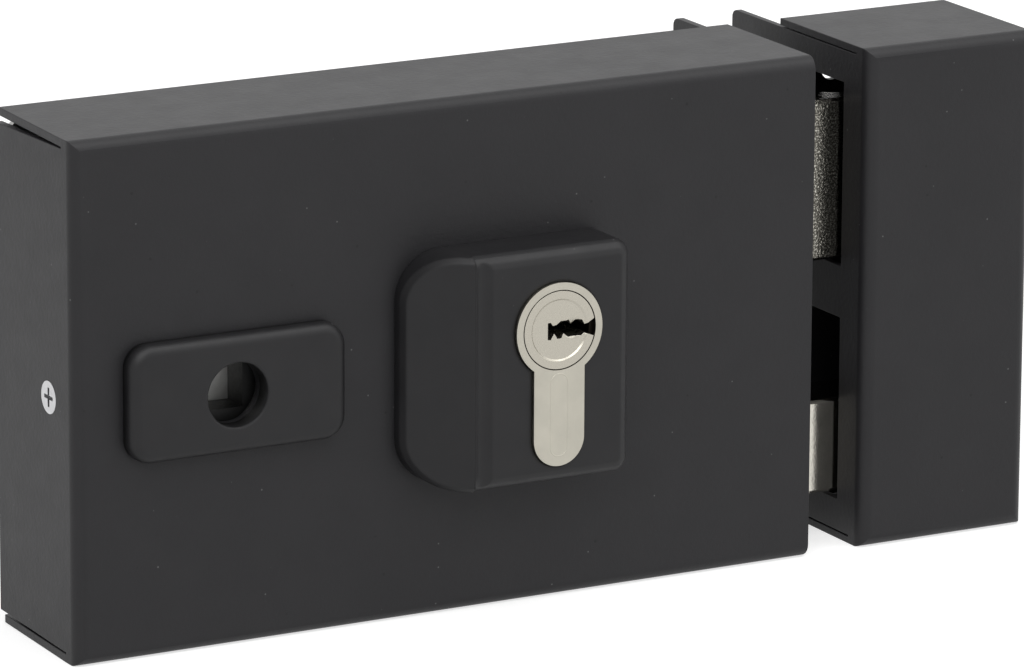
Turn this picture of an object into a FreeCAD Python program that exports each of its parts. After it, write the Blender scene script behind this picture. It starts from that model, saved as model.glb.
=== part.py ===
import FreeCAD, Part
import math
import os

import Sketcher

# Horizontal rim lock with a box strike, in millimetres.
# Design frame: x runs along the case, with 0 at the forend's outer face and the bolts towards +x.
# Depth is counted forwards from the door's face, which is the back plane, so y is minus the depth.
# Height z is 0 at the middle of the case. One shift then moves all of it to the part's own origin.

SIZES = [
    ("case_length", 146.0, "cover, left end to forend face"),
    ("case_height", 92.5, "cover, bottom to top"),
    ("case_depth", 31.0, "cover, door face to front"),
    ("sheet_gauge", 1.5, "folded steel of the cover"),
    ("bend_radius", 2.5, "outside of the folds"),
    ("seam_gap", 0.3, "slit beside the left flange, at its front end"),
    ("seam_spread", 1.0, "the same slit at the door's face"),
    ("flange_taper", 0.8, "left flange past the ends of the top and bottom flanges, at the door's face"),
    ("seam_stop", 4.5, "front face to the end of a slit"),
    ("back_gauge", 1.5, "back plate"),
    ("back_clearance", 0.2, "back plate's edge to the cover's flanges"),
    ("forend_gauge", 1.5, "forend plate"),
    ("forend_margin", 1.9, "case top to the forend's top edge"),
    ("edge_reach", 17.2, "forend and strike plate, past the door's face"),
    ("edge_corner", 1.5, "rounded corners of those plates"),
    ("edge_hole_radius", 2.3, "screw holes past the door's face"),
    ("edge_hole_depth", 10.5, "those holes, from the door's face"),
    ("edge_hole_spacing", 60.0, "those holes, one to the other"),
    ("edge_hole_sink", 3.5, "countersink of those holes, radius"),
    ("edge_hole_sink_depth", 0.6, "countersink of those holes, depth"),
    ("mount_hole_radius", 2.1, "screw holes of the back plate"),
    ("mount_hole_inset", 12.0, "first screw hole from the left end"),
    ("mount_hole_span", 112.0, "screw holes, along the case"),
    ("mount_hole_edge", 5.45, "case's top and bottom to the screw holes"),
    ("strike_gap", 11.0, "forend face to the strike"),
    ("strike_width", 35.0, "strike along x"),
    ("strike_gauge", 1.3, "folded steel of the strike"),
    ("strike_seam", 0.25, "slit between the strike's left wall and its top and bottom"),
    ("strike_back_gauge", 1.5, "back plate of the strike"),
    ("strike_hole_radius", 2.3, "screw holes of that plate"),
    ("strike_hole_side", 10.3, "those holes from the strike's sides"),
    ("strike_hole_edge", 9.9, "those holes from the strike's top and bottom"),
    ("opening_rise", 34.0, "each strike opening"),
    ("opening_web", 9.6, "strike metal between its openings"),
    ("opening_front", 8.5, "strike's front face to its openings"),
    ("opening_width", 17.0, "strike openings, front to back"),
    ("bolt_front", 9.3, "case front to the bolts' front faces"),
    ("deadbolt_rise", 17.6, "deadbolt head height"),
    ("deadbolt_thick", 12.0, "deadbolt head, front to back"),
    ("deadbolt_drop", 28.8, "case middle down to the deadbolt's middle"),
    ("deadbolt_reach", 20.0, "deadbolt out of the forend when thrown"),
    ("deadbolt_throw", 19.5, "deadbolt travel"),
    ("deadbolt_inside", 32.0, "deadbolt head behind the forend face"),
    ("latch_rise", 29.7, "latch head height"),
    ("latch_thick", 11.6, "latch head, front to back"),
    ("latch_lift", 20.9, "case middle up to the latch's middle"),
    ("latch_reach", 16.0, "latch out of the forend at rest"),
    ("latch_throw", 15.5, "latch travel"),
    ("latch_inside", 28.0, "latch head behind the forend face"),
    ("latch_lip", 3.0, "flat tip of the latch"),
    ("latch_bevel", 13.0, "length of the latch's slope"),
    ("tail_gauge", 2.0, "both bolts' tail plates"),
    ("bolt_edge", 0.6, "chamfered edges of the bolts"),
    ("guide_clearance", 0.3, "bolts to the guide and the forend"),
    ("guide_length", 10.0, "bolt guide along x"),
    ("guide_wall", 2.4, "bolt guide above and below the bolts"),
    ("guide_floor", 2.2, "bolt guide in front of the bolts"),
    ("cylinder_backset", 58.2, "forend face to the cylinder's axis"),
    ("cylinder_lift", 5.9, "case middle up to the cylinder's axis"),
    ("cylinder_inner", 30.0, "cylinder, middle of its cam to its face on the key side"),
    ("cylinder_outer", 30.0, "cylinder, middle of its cam to its outer face"),
    ("cylinder_stand", 0.6, "cylinder's face in front of the guard"),
    ("head_radius", 8.5, "round head of the profile cylinder"),
    ("stem_width", 10.0, "stem of the profile cylinder"),
    ("stem_drop", 24.5, "cylinder's axis to the stem's bottom"),
    ("fixing_drop", 20.2, "cylinder's axis to its fixing screw"),
    ("fixing_radius", 2.5, "cylinder's fixing screw"),
    ("fixing_play", 0.4, "that screw in front of the deadbolt's tail"),
    ("fixing_length", 65.0, "cylinder's fixing screw, with its head"),
    ("screw_sink_radius", 4.4, "countersunk head of the fixing screw"),
    ("screw_sink_depth", 2.1, "height of that head's cone"),
    ("screw_seat", 0.5, "metal of the forend under that head"),
    ("screw_cross", 2.2, "arms of that head's cross recess"),
    ("screw_cross_half", 0.5, "half the width of those arms"),
    ("screw_point", 0.5, "chamfer of the screws' ends"),
    ("cylinder_fit", 0.3, "cylinder to the holes round it"),
    ("plug_radius", 6.5, "key plug"),
    ("plug_collar_radius", 7.0, "key plug's face"),
    ("plug_collar_length", 1.2, "key plug's face, thickness"),
    ("collar_fit", 0.15, "key plug's face to its seat"),
    ("dish_radius", 5.3, "sunk middle of the key plug's face"),
    ("dish_depth", 0.3, "depth of that middle"),
    ("running_fit", 0.04, "turning pieces, radial clearance"),
    ("cam_width", 10.0, "cam gap of the cylinder"),
    ("cam_side_play", 0.1, "cam to each side of its gap"),
    ("cam_radius", 8.4, "cam's ring"),
    ("cam_bore_radius", 4.8, "cam's bore"),
    ("nose_radius", 3.0, "round tip of the cam's nose"),
    ("nose_arm", 13.5, "cylinder's axis to the middle of the nose"),
    ("nose_neck", 3.8, "width of the nose below its tip"),
    ("nose_clearance", 0.7, "nose to each side of the deadbolt's slot"),
    ("nose_relief", 0.5, "nose to the end of its slot and to the cam gap's floor"),
    ("slot_flare", 1.6, "entry of the deadbolt's slot, each side"),
    ("slot_entry", 0.1, "middle of the resting nose to the entry of its slot"),
    ("dimple_radius", 2.7, "key dimple in the plug's face"),
    ("dimple_offset", 2.9, "axis to the dimple"),
    ("dimple_depth", 1.3, "depth of the dimple's cone"),
    ("keyway_end", 3.0, "end of the keyway to the plug's inner end"),
    ("clutch_slot", 0.95, "half the width of the coupling's slot"),
    ("guard_left", 84.6, "forend face to the guard's left edge"),
    ("guard_right", 43.2, "forend face to the guard's right edge"),
    ("guard_top", 20.3, "case middle up to the guard's top"),
    ("guard_bottom", 21.8, "case middle down to the guard's bottom"),
    ("guard_corner", 9.0, "guard's left corners"),
    ("guard_right_corner", 2.8, "guard's right corners"),
    ("guard_edge", 2.8, "rounded front edges of the guard's pad"),
    ("guard_ramp_edge", 1.5, "rounded front edges of the guard's ramp"),
    ("guard_lip", 2.6, "guard's height at its left edge"),
    ("guard_peak", 74.4, "forend face to the top of the guard's ramp"),
    ("guard_groove", 3.2, "groove between ramp and pad"),
    ("guard_groove_depth", 0.7, "depth of that groove"),
    ("spindle_backset", 116.6, "forend face to the spindle's axis"),
    ("spindle_drop", 0.4, "case middle down to the spindle's axis"),
    ("rose_length", 40.5, "spindle plate along x"),
    ("rose_rise", 24.0, "spindle plate's height"),
    ("rose_thick", 3.5, "spindle plate in front of the cover"),
    ("rose_corner", 5.0, "spindle plate's corners"),
    ("rose_edge", 1.6, "spindle plate's rounded front edge"),
    ("rose_hole_radius", 5.75, "hole for the spindle"),
    ("square_width", 8.0, "spindle's square"),
    ("square_fit", 0.05, "spindle to the follower, each side"),
    ("spindle_set_back", 12.2, "spindle's end behind the spindle plate's face"),
    ("follower_radius", 8.0, "follower's barrel"),
    ("bridge_room", 1.9, "latch tail to the front of the barrel"),
    ("follower_back", 2.4, "depth of the barrel's back"),
    ("journal_radius", 6.6, "follower's bearings"),
    ("journal_end", 0.6, "back journal short of the door's face"),
    ("arm_length", 19.0, "spindle's axis to the follower's tip"),
    ("arm_tip_radius", 3.0, "round tip of the follower's arm"),
    ("arm_neck", 4.4, "width of that arm below its tip"),
    ("arm_thick", 1.8, "follower's arm, front to back"),
    ("arm_clearance", 0.45, "arm to each side of the latch's slot"),
    ("arm_relief", 0.5, "arm's tip to the end of its slot"),
    ("bridge_gauge", 2.0, "bridge over the follower"),
    ("bridge_play", 0.2, "follower's barrel to the bridge"),
    ("journal_stand", 0.1, "front journal past the bridge"),
    ("bridge_length", 36.0, "bridge along x"),
    ("bridge_top", 37.5, "case middle up to the bridge's top"),
    ("bridge_bottom", 20.0, "case middle down to the bridge's bottom"),
    ("post_radius", 2.8, "six-sided posts of the bridge, to their corners"),
    ("post_inset", 4.5, "posts from the bridge's edges"),
    ("strip_bottom", 15.2, "case middle up to the latch tail's lower edge"),
    ("strip_top", 28.5, "case middle up to the latch tail's upper edge"),
    ("strip_end", 8.0, "latch tail past its slot"),
    ("rod_lift", 32.0, "case middle up to the spring's rod"),
    ("rod_radius", 1.6, "spring's rod"),
    ("rod_length", 48.0, "spring's rod behind the latch head"),
    ("rod_fit", 0.2, "rod to the bracket's hole"),
    ("rod_seat", 6.0, "rod into the latch head"),
    ("spring_wire", 0.9, "latch spring's wire"),
    ("spring_radius", 3.1, "latch spring, axis to the wire's middle"),
    ("spring_play", 0.3, "latch spring's ends to what they press on"),
    ("bracket_place", 66.0, "forend face to the spring's bracket"),
    ("bracket_gauge", 2.0, "spring's bracket"),
    ("bracket_foot", 12.0, "foot of that bracket"),
    ("bracket_rise", 10.5, "width of that bracket"),
    ("bracket_offset", 2.0, "middle of that bracket above the rod"),
    ("frame_bar", 6.0, "deadbolt tail's upright bars"),
    ("frame_lower", 16.0, "deadbolt tail's lower bar"),
    ("frame_play", 1.0, "cylinder to the tail's window"),
    ("frame_head", 4.5, "deadbolt tail above its slot"),
    ("rivet_radius", 1.9, "rivets of the tails"),
    ("rivet_inset", 4.0, "bolt head's left end to the first rivet"),
    ("rivet_pitch", 8.0, "first rivet to the second"),
    ("rivet_bite", 1.0, "rivets into the bolt heads, past their tails"),
    ("tail_stop", 2.0, "bolt guide to the tail plates"),
    ("lug_gauge", 3.0, "lug of the cover screw"),
    ("lug_rise", 16.0, "width of that lug"),
    ("lug_foot", 12.0, "foot of that lug"),
    ("lug_foot_gauge", 1.5, "sheet of that foot"),
    ("lug_top", 4.0, "lug in front of the cover screw"),
    ("cover_screw_depth", 20.7, "door's face to the cover screw"),
    ("cover_screw_radius", 2.0, "cover screw's thread"),
    ("cover_screw_head", 2.9, "cover screw's head"),
    ("cover_screw_sink", 1.3, "cover screw's cone"),
    ("cover_screw_length", 10.0, "cover screw"),
    ("cover_screw_cross", 1.7, "arms of its cross recess"),
    ("cover_screw_cross_half", 0.35, "half the width of those arms"),
    ("cover_screw_cross_depth", 1.0, "depth of that recess"),
    ("brake_gauge", 0.6, "brake spring of the deadbolt"),
    ("brake_length", 34.0, "brake spring along x"),
    ("brake_width", 6.0, "brake spring, front to back"),
    ("brake_play", 0.1, "brake spring to the deadbolt's tail"),
    ("brake_drop", 1.5, "brake spring's ends below its crown"),
    ("brake_flat", 6.0, "flat end of the brake spring"),
    ("brake_crown", 1.0, "half of its flat crown"),
    ("shelf_gauge", 1.0, "shelf below the brake spring"),
    ("shelf_margin", 3.0, "shelf past the brake spring's ends"),
    ("pin_radius", 1.4, "tumbler pins of the cylinder"),
    ("pin_first", 6.0, "cylinder's face to the first pin"),
    ("pin_last", 3.0, "last pin to the cam gap"),
    ("pin_count", 5.0, "tumbler pins in each half"),
    ("pin_stopper", 2.0, "strips that close the pin channels"),
    ("pin_stopper_lift", 0.4, "stem's bottom to those strips"),
    ("pin_driver", 4.5, "driver pins"),
    ("pin_play", 0.3, "play between a driver, its spring and its strip"),
]


class Term:
    """A length worked out from named sizes: its value, and the expression that binds it to them."""

    def __init__(self, value, text):
        self.value = float(value)
        self.text = text

    def __add__(self, other):
        other = term(other)
        return Term(self.value + other.value, f"({self.text} + {other.text})")

    def __radd__(self, other):
        return term(other) + self

    def __sub__(self, other):
        other = term(other)
        return Term(self.value - other.value, f"({self.text} - {other.text})")

    def __rsub__(self, other):
        return term(other) - self

    def __mul__(self, other):
        other = term(other)
        return Term(self.value * other.value, f"({self.text} * {other.text})")

    def __rmul__(self, other):
        return term(other) * self

    def __truediv__(self, other):
        other = term(other)
        return Term(self.value / other.value, f"({self.text} / {other.text})")

    def __neg__(self):
        return Term(-self.value, f"(-{self.text})")


def term(value):
    """Takes a plain number or a Term, and gives a Term."""
    if isinstance(value, Term):
        return value
    return Term(value, f"({value})")


def root(value):
    """The square root of a Term."""
    return Term(math.sqrt(value.value), f"sqrt({value.text})")


class Sizes:
    """Gives each named size as a Term that points at its cell in the sheet."""

    def __init__(self, rows):
        self.rows = {name: value for name, value, meaning in rows}

    def __getattr__(self, name):
        return Term(self.rows[name], f"sizes.{name}")


doc = FreeCAD.newDocument("rim_lock")
S = Sizes(SIZES)
NODES = []


def make_sheet():
    """Writes every driving size into the spreadsheet, with its meaning beside it."""
    sheet = doc.addObject("Spreadsheet::Sheet", "sizes")
    for row, (name, value, meaning) in enumerate(SIZES, start=1):
        sheet.set(f"A{row}", str(value))
        sheet.set(f"B{row}", meaning)
        sheet.setAlias(f"A{row}", name)
    doc.recompute()


# How far a cut runs past the faces that it opens
PAST = 1.0

# A rounded rim as three flats: the middle one and those at its sides, as parts of the radius
RIM_MIDDLE = 0.62
RIM_SIDE = 0.22

# Sides of the small hidden round pieces that are drawn as prisms
PIN_SIDES = 8
ROD_SIDES = 6

# Length of the flared entry of the deadbolt's slot, as a part of its width
FLARE_SLOPE = 1.5

# Places that several pieces share

CASE_LEFT = -S.case_length
CASE_TOP = S.case_height / 2
FRONT_INNER = S.case_depth - S.sheet_gauge
BACK_INNER = S.back_gauge
AXIS_X = -S.cylinder_backset
AXIS_Z = S.cylinder_lift
SPINDLE_X = -S.spindle_backset
SPINDLE_Z = -S.spindle_drop
BOLT_FACE = S.case_depth - S.bolt_front
DEADBOLT_BACK = BOLT_FACE - S.deadbolt_thick
LATCH_BACK = BOLT_FACE - S.latch_thick
CAM_MIDDLE = DEADBOLT_BACK + S.fixing_radius + S.fixing_play
CYLINDER_FACE = CAM_MIDDLE + S.cylinder_inner
CYLINDER_BACK = CAM_MIDDLE - S.cylinder_outer
GUARD_FACE = CYLINDER_FACE - S.cylinder_stand
GUARD_HEIGHT = GUARD_FACE - S.case_depth
DEADBOLT_Z = -S.deadbolt_drop
LATCH_Z = S.latch_lift
STRIKE_LEFT = S.strike_gap
STRIKE_RIGHT = S.strike_gap + S.strike_width
EDGE_PLATE_TOP = CASE_TOP - S.forend_margin
FIXING_Z = AXIS_Z - S.fixing_drop
NOSE_SINE = S.deadbolt_throw / 2 / S.nose_arm
NOSE_COSINE = root(1 - NOSE_SINE * NOSE_SINE)
ARM_SINE = S.latch_throw / 2 / S.arm_length
ARM_COSINE = root(1 - ARM_SINE * ARM_SINE)
FOLLOWER_FRONT = BOLT_FACE + S.tail_gauge + S.bridge_room
BRIDGE_BACK = FOLLOWER_FRONT + S.bridge_play
TAIL_RIGHT = -S.guide_length - S.forend_gauge - S.tail_stop
FRAME_LOW = DEADBOLT_Z - S.deadbolt_rise / 2 + (S.deadbolt_rise - S.frame_lower) / 2
SHIFT_X = (S.case_length - STRIKE_RIGHT) / 2
SHIFT_Y = (CYLINDER_FACE - S.edge_reach) / 2
SHIFT_Z = CASE_TOP


# Sketch and feature helpers

PLANES = {"front": "XZ_Plane", "side": "YZ_Plane", "top": "XY_Plane"}


def bind(item, prop, value):
    """Binds one property to a size, so that it follows the sheet."""
    value = term(value)
    item.setExpression(prop, value.text)


def place(item, x=0, y=0, z=0):
    """Moves a finished piece from the design frame to the part's own origin."""
    bind(item, "Placement.Base.x", SHIFT_X + x)
    bind(item, "Placement.Base.y", SHIFT_Y + y)
    bind(item, "Placement.Base.z", SHIFT_Z + z)


def keep(item, label):
    """Names a finished piece as one node of the part."""
    item.Label = label
    NODES.append(item)
    return item


def loose_body(label):
    """Starts a body that another piece is made from."""
    body = doc.addObject("PartDesign::Body", label + "_body")
    place(body)
    return body


def new_body(label, compound=False):
    """Starts a body for one node; a group of equal pieces is a compound."""
    body = loose_body(label)
    body.AllowCompound = compound
    return keep(body, label)


def new_sketch(body, name, view, start, across=0, up=0):
    """Adds a sketch on one of the body's own planes, set off along its normal."""
    plane = next(f for f in body.Origin.OriginFeatures if f.Role == PLANES[view])
    item = body.newObject("Sketcher::SketchObject", name)
    item.AttachmentSupport = [(plane, "")]
    item.MapMode = "FlatFace"
    bind(item, "AttachmentOffset.Base.z", start)
    bind(item, "AttachmentOffset.Base.x", across)
    bind(item, "AttachmentOffset.Base.y", up)
    return item


def hold(item, kind, index, point, value):
    """Holds one coordinate of a sketch point from the sketch's origin."""
    value = term(value)
    number = item.addConstraint(Sketcher.Constraint(kind, -1, 1, index, point, value.value))
    item.setExpression(f"Constraints[{number}]", value.text)


def outline(points):
    """A closed outline of straight lines; every corner has both its coordinates held."""

    def draw(item):
        first = item.GeometryCount
        count = len(points)
        corners = [FreeCAD.Vector(term(a).value, term(b).value, 0) for a, b in points]
        for k in range(count):
            item.addGeometry(Part.LineSegment(corners[k], corners[(k + 1) % count]), False)
        for k in range(count):
            following = first + (k + 1) % count
            item.addConstraint(Sketcher.Constraint("Coincident", first + k, 2, following, 1))
        for k, (a, b) in enumerate(points):
            hold(item, "DistanceX", first + k, 1, a)
            hold(item, "DistanceY", first + k, 1, b)

    return draw


def rectangle(a0, b0, a1, b1):
    """A rectangle between two corners."""
    return outline([(a0, b0), (a1, b0), (a1, b1), (a0, b1)])


def circle(a, b, radius):
    """A circle about a point."""

    def draw(item):
        index = item.GeometryCount
        centre = FreeCAD.Vector(term(a).value, term(b).value, 0)
        item.addGeometry(Part.Circle(centre, FreeCAD.Vector(0, 0, 1), term(radius).value), False)
        hold(item, "DistanceX", index, 3, a)
        hold(item, "DistanceY", index, 3, b)
        number = item.addConstraint(Sketcher.Constraint("Radius", index, term(radius).value))
        item.setExpression(f"Constraints[{number}]", term(radius).text)

    return draw


def even_sided(a, b, radius, sides):
    """An even-sided outline about a point, with its corners at the radius."""
    turns = [2 * math.pi * k / sides for k in range(sides)]
    return outline([(a + radius * math.cos(turn), b + radius * math.sin(turn)) for turn in turns])


def pad(body, name, view, start, length, *shapes):
    """Adds material from a plane along its normal: forwards, to +x or upwards."""
    item = new_sketch(body, name + "_sketch", view, start)
    for shape in shapes:
        shape(item)
    feature = body.newObject("PartDesign::Pad", name)
    feature.Profile = item
    bind(feature, "Length", length)
    doc.recompute()
    return feature


def pocket(body, name, view, start, length, *shapes):
    """Cuts from a plane along its normal, and makes sure that it cut something."""
    before = body.Shape.Volume
    item = new_sketch(body, name + "_sketch", view, start)
    for shape in shapes:
        shape(item)
    feature = body.newObject("PartDesign::Pocket", name)
    feature.Profile = item
    feature.Reversed = True
    bind(feature, "Length", length)
    doc.recompute()
    if body.Shape.Volume >= before - 1e-6:
        raise RuntimeError(f"{name} cut nothing from {body.Label}")
    return feature


def spin(body, name, kind, across, height, points):
    """Turns an outline about an axis that runs front to back, as a Revolution or a Groove."""
    before = body.Shape.Volume if body.Tip else 0
    item = new_sketch(body, name + "_sketch", "top", height, across)
    outline(points)(item)
    feature = body.newObject(f"PartDesign::{kind}", name)
    feature.Profile = item
    feature.ReferenceAxis = (item, ["V_Axis"])
    feature.Angle = 360
    doc.recompute()
    if abs(body.Shape.Volume - before) < 1e-6:
        raise RuntimeError(f"{name} changed nothing on {body.Label}")
    return feature


def turn_along_x(body, name, kind, depth, height, points):
    """Turns an outline about an axis along x; points are (x, distance from the axis)."""
    before = body.Shape.Volume if body.Tip else 0
    item = new_sketch(body, name + "_sketch", "front", depth, 0, height)
    outline(points)(item)
    feature = body.newObject(f"PartDesign::{kind}", name)
    feature.Profile = item
    feature.ReferenceAxis = (item, ["H_Axis"])
    feature.Angle = 360
    doc.recompute()
    if abs(body.Shape.Volume - before) < 1e-6:
        raise RuntimeError(f"{name} changed nothing on {body.Label}")
    return feature


def dress_edges(body, name, kind, prop, size, choose):
    """Adds a Fillet or a Chamfer on the edges that a test on each edge's middle and direction picks out."""
    picked = []
    for number, edge in enumerate(body.Tip.Shape.Edges, start=1):
        if edge.Degenerated:
            continue
        middle = edge.valueAt((edge.FirstParameter + edge.LastParameter) / 2)
        along = edge.tangentAt((edge.FirstParameter + edge.LastParameter) / 2)
        if choose(edge, middle, along):
            picked.append(f"Edge{number}")
    feature = body.newObject(f"PartDesign::{kind}", name)
    feature.Base = (body.Group[-2], picked)
    bind(feature, prop, size)
    doc.recompute()


def round_off(body, name, radius, choose):
    """Rounds the edges that a test picks out."""
    dress_edges(body, name, "Fillet", "Radius", radius, choose)


def bevel_off(body, name, size, choose):
    """Chamfers the edges that a test picks out."""
    dress_edges(body, name, "Chamfer", "Size", size, choose)


def soften(body, name, size, face, choose):
    """Rounds a rim in three flats; the edges lie at one depth, and a test picks them out of it."""
    wide = size * RIM_MIDDLE
    bevel_off(body, name, wide, lambda edge, middle, along: near(-middle.y, face) and choose(middle))
    low = face - wide

    def borders(edge, middle, along):
        return (near(-middle.y, face) or near(-middle.y, low)) and choose(middle)

    bevel_off(body, name + "_borders", size * RIM_SIDE, borders)


def near(a, b):
    """True where two lengths are the same."""
    return abs(a - term(b).value) < 0.01


def swung(points, sine, cosine):
    """Turns points about the origin, clockwise as seen from the front."""
    return [(a * cosine + b * sine, b * cosine - a * sine) for a, b in points]


# Outer pieces of the case

def profile_hole(body, name, start, length, clearance):
    """Cuts the hole that a profile cylinder passes through."""
    half = S.stem_width / 2 + clearance
    foot = AXIS_Z - S.stem_drop + S.stem_width / 2
    head = circle(AXIS_X, AXIS_Z, S.head_radius + clearance)
    pocket(body, name + "_head", "front", start, length, head)
    stem = rectangle(AXIS_X - half, foot, AXIS_X + half, AXIS_Z)
    pocket(body, name + "_stem", "front", start, length, stem)
    pocket(body, name + "_foot", "front", start, length, circle(AXIS_X, foot, half))


def cover():
    """The folded steel cover: front, top, bottom and left flange; the forend closes its right end."""
    body = new_body("cover")
    pad(body, "outside", "front", 0, S.case_depth, rectangle(CASE_LEFT, -CASE_TOP, 0, CASE_TOP))

    def front_folds(edge, middle, along):
        return near(-middle.y, S.case_depth) and not near(middle.x, 0)

    round_off(body, "folds", S.bend_radius, front_folds)
    inner_top = CASE_TOP - S.sheet_gauge
    inner_left = CASE_LEFT + S.sheet_gauge
    pocket(body, "inside", "front", 0, FRONT_INNER, rectangle(inner_left, -inner_top, 0, inner_top))

    def inner_folds(edge, middle, along):
        return near(-middle.y, FRONT_INNER) and not near(middle.x, 0)

    round_off(body, "inner_folds", S.bend_radius - S.sheet_gauge, inner_folds)
    slit = S.case_depth - S.seam_stop
    taper = outline([(CASE_LEFT, 0), (CASE_LEFT, -slit), (CASE_LEFT + S.flange_taper, 0)])
    for name, side in (("top", 1), ("bottom", -1)):
        seam = outline([(0, side * inner_top), (-slit, side * inner_top),
                        (-slit, side * (inner_top - S.seam_gap)), (0, side * (inner_top - S.seam_spread))])
        pocket(body, name + "_seam", "side", CASE_LEFT, S.sheet_gauge, seam)
        pocket(body, name + "_taper", "top", inner_top if side > 0 else -CASE_TOP, S.sheet_gauge, taper)
    profile_hole(body, "cylinder_hole", FRONT_INNER - PAST, S.sheet_gauge + 2 * PAST, S.cylinder_fit)
    pocket(body, "spindle_hole", "front", FRONT_INNER - PAST, S.sheet_gauge + 2 * PAST,
           circle(SPINDLE_X, SPINDLE_Z, S.rose_hole_radius))
    sunk_hole(body, "screw_hole", CASE_LEFT, S.cover_screw_depth, SPINDLE_Z,
              S.cover_screw_radius + S.guide_clearance, S.cover_screw_head + S.running_fit,
              S.cover_screw_sink, S.sheet_gauge, 1)


def sunk_hole(body, name, face, depth, height, radius, sink_radius, sink_depth, gauge, side):
    """A countersunk hole along x through a sheet whose face is at x = face; side is 1 for a left face."""
    points = [(face, 0), (face, sink_radius), (face + side * sink_depth, radius),
              (face + side * gauge, radius), (face + side * gauge, 0)]
    turn_along_x(body, name, "Groove", depth, height, points)


def back_plate():
    """The flat plate that is screwed to the door and carries the mechanism."""
    body = new_body("back_plate")
    edge = CASE_TOP - S.sheet_gauge - S.back_clearance
    left = CASE_LEFT + S.sheet_gauge + S.back_clearance
    right = -S.forend_gauge
    notch = S.bend_radius
    corners = [(left + notch, -edge), (right, -edge), (right, edge), (left + notch, edge),
               (left, edge - notch), (left, notch - edge)]
    pad(body, "plate", "front", 0, S.back_gauge, outline(corners))
    profile_hole(body, "cylinder_hole", 0, S.back_gauge, S.cylinder_fit)
    pocket(body, "spindle_hole", "front", 0, S.back_gauge,
           circle(SPINDLE_X, SPINDLE_Z, S.journal_radius + S.running_fit))
    first = CASE_LEFT + S.mount_hole_inset
    holes = [circle(x, z, S.mount_hole_radius)
             for x in (first, first + S.mount_hole_span)
             for z in (CASE_TOP - S.mount_hole_edge, S.mount_hole_edge - CASE_TOP)]
    pocket(body, "mount_holes", "front", 0, S.back_gauge, *holes)


def bolt_windows(body, name, start, length, clearance):
    """Cuts the two windows that the latch and the deadbolt slide through, along x."""
    front = -BOLT_FACE - clearance
    latch_half = S.latch_rise / 2 + clearance
    bolt_half = S.deadbolt_rise / 2 + clearance
    pocket(body, name + "_latch", "side", start, length,
           rectangle(front, LATCH_Z - latch_half, -LATCH_BACK + clearance, LATCH_Z + latch_half))
    pocket(body, name + "_deadbolt", "side", start, length,
           rectangle(front, DEADBOLT_Z - bolt_half, -DEADBOLT_BACK + clearance, DEADBOLT_Z + bolt_half))


def edge_holes(body, face, gauge, side):
    """The two countersunk screw holes of a plate that laps the door's edge or the frame's."""
    for index, height in enumerate((S.edge_hole_spacing / 2, -S.edge_hole_spacing / 2)):
        sunk_hole(body, f"edge_hole_{index}", face, -S.edge_hole_depth, height,
                  S.edge_hole_radius, S.edge_hole_sink, S.edge_hole_sink_depth, gauge, side)


def edge_corners(edge, middle, along):
    """Picks the corners of a plate that are furthest past the door's face."""
    return near(middle.y, S.edge_reach) and near(abs(along.x), 1)


def forend_plate():
    """The flat plate at the case's right end, which laps the door's edge."""
    body = new_body("forend_plate")
    pad(body, "plate", "side", -S.forend_gauge, S.forend_gauge,
        rectangle(-FRONT_INNER + S.back_clearance, -EDGE_PLATE_TOP, S.edge_reach, EDGE_PLATE_TOP))
    round_off(body, "corners", S.edge_corner, edge_corners)
    bolt_windows(body, "window", -S.forend_gauge, S.forend_gauge, S.guide_clearance)
    edge_holes(body, term(0), S.forend_gauge, -1)
    sunk_hole(body, "fixing_hole", term(0), CAM_MIDDLE, FIXING_Z, S.fixing_radius + S.running_fit,
              S.screw_sink_radius + S.running_fit, S.screw_sink_depth, S.screw_sink_depth + S.screw_seat, -1)


def guard_ramp():
    """The guard's left part, which slopes up from the cover to the groove."""
    body = loose_body("guard_ramp")
    left = -S.guard_left
    peak = -S.guard_peak
    pad(body, "block", "front", S.case_depth, GUARD_HEIGHT,
        rectangle(left, -S.guard_bottom, peak, S.guard_top))

    def left_corners(edge, middle, along):
        return near(middle.x, left) and near(abs(along.y), 1)

    round_off(body, "left_corners", S.guard_corner, left_corners)
    lip = -S.case_depth - S.guard_lip
    slope = [(left - PAST, lip), (left, lip), (peak, -GUARD_FACE), (peak, -GUARD_FACE - PAST),
             (left - PAST, -GUARD_FACE - PAST)]
    height = S.guard_top + S.guard_bottom
    pocket(body, "slope", "top", -S.guard_bottom - PAST, height + 2 * PAST, outline(slope))

    def front_edges(edge, middle, along):
        on_cover = near(-middle.y, S.case_depth)
        return not on_cover and not near(middle.x, peak) and not near(abs(along.y), 1)

    bevel_off(body, "front_edges", S.guard_ramp_edge * RIM_MIDDLE, front_edges)
    return body


def guard_pad():
    """The guard's flat part round the cylinder."""
    body = loose_body("guard_pad")
    right = -S.guard_right
    peak = -S.guard_peak
    pad(body, "block", "front", S.case_depth, GUARD_HEIGHT,
        rectangle(peak, -S.guard_bottom, right, S.guard_top))

    def right_corners(edge, middle, along):
        return near(middle.x, right) and near(abs(along.y), 1)

    round_off(body, "right_corners", S.guard_right_corner, right_corners)
    soften(body, "front_edges", S.guard_edge, GUARD_FACE, lambda middle: not near(middle.x, peak))
    profile_hole(body, "cylinder_hole", S.case_depth, GUARD_HEIGHT + PAST, S.cylinder_fit / 2)
    return body


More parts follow.
